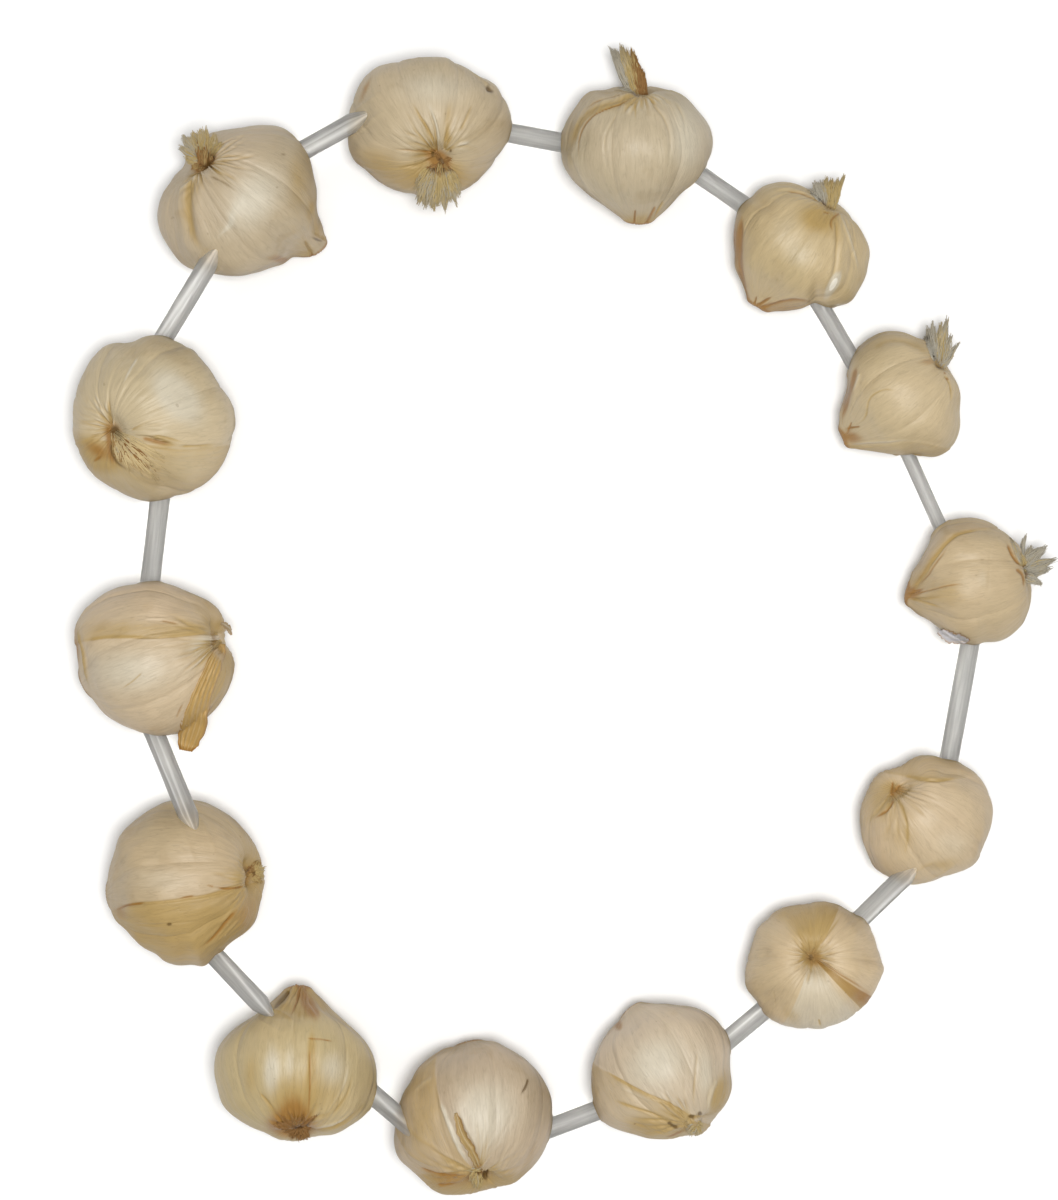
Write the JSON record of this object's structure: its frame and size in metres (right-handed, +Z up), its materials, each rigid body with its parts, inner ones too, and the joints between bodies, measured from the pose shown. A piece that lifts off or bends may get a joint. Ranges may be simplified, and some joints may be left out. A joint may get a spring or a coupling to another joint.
{
  "type": "garlic bulb garland",
  "caption": "Closed ring of dried garlic bulbs strung alternately with short clear drinking-straw spacers, lying flat; hangs on a hook, post or wall.",
  "frame": {"origin": "on the surface it lies on, under the middle of the ring", "axes": "+Z up, +Y along the ring's longer way, +X across it"},
  "size_m": [0.3188, 0.374, 0.0506],
  "materials": {
    "garlic_skin": "satin",
    "straw_clear": "gloss"
  },
  "bodies": {
    "root": {"bulb_01": "garlic_skin", "bulb_02": "garlic_skin", "bulb_03": "garlic_skin", "bulb_04": "garlic_skin", "bulb_05": "garlic_skin", "bulb_06": "garlic_skin", "bulb_07": "garlic_skin", "bulb_08": "garlic_skin", "bulb_09": "garlic_skin", "bulb_10": "garlic_skin", "bulb_11": "garlic_skin", "bulb_12": "garlic_skin", "bulb_13": "garlic_skin", "bulb_14": "garlic_skin", "straw_01": "straw_clear", "straw_02": "straw_clear", "straw_03": "straw_clear", "straw_04": "straw_clear", "straw_05": "straw_clear", "straw_06": "straw_clear", "straw_07": "straw_clear", "straw_08": "straw_clear", "straw_09": "straw_clear", "straw_10": "straw_clear", "straw_11": "straw_clear", "straw_12": "straw_clear", "straw_13": "straw_clear", "straw_14": "straw_clear"}
  },
  "joints": []
}
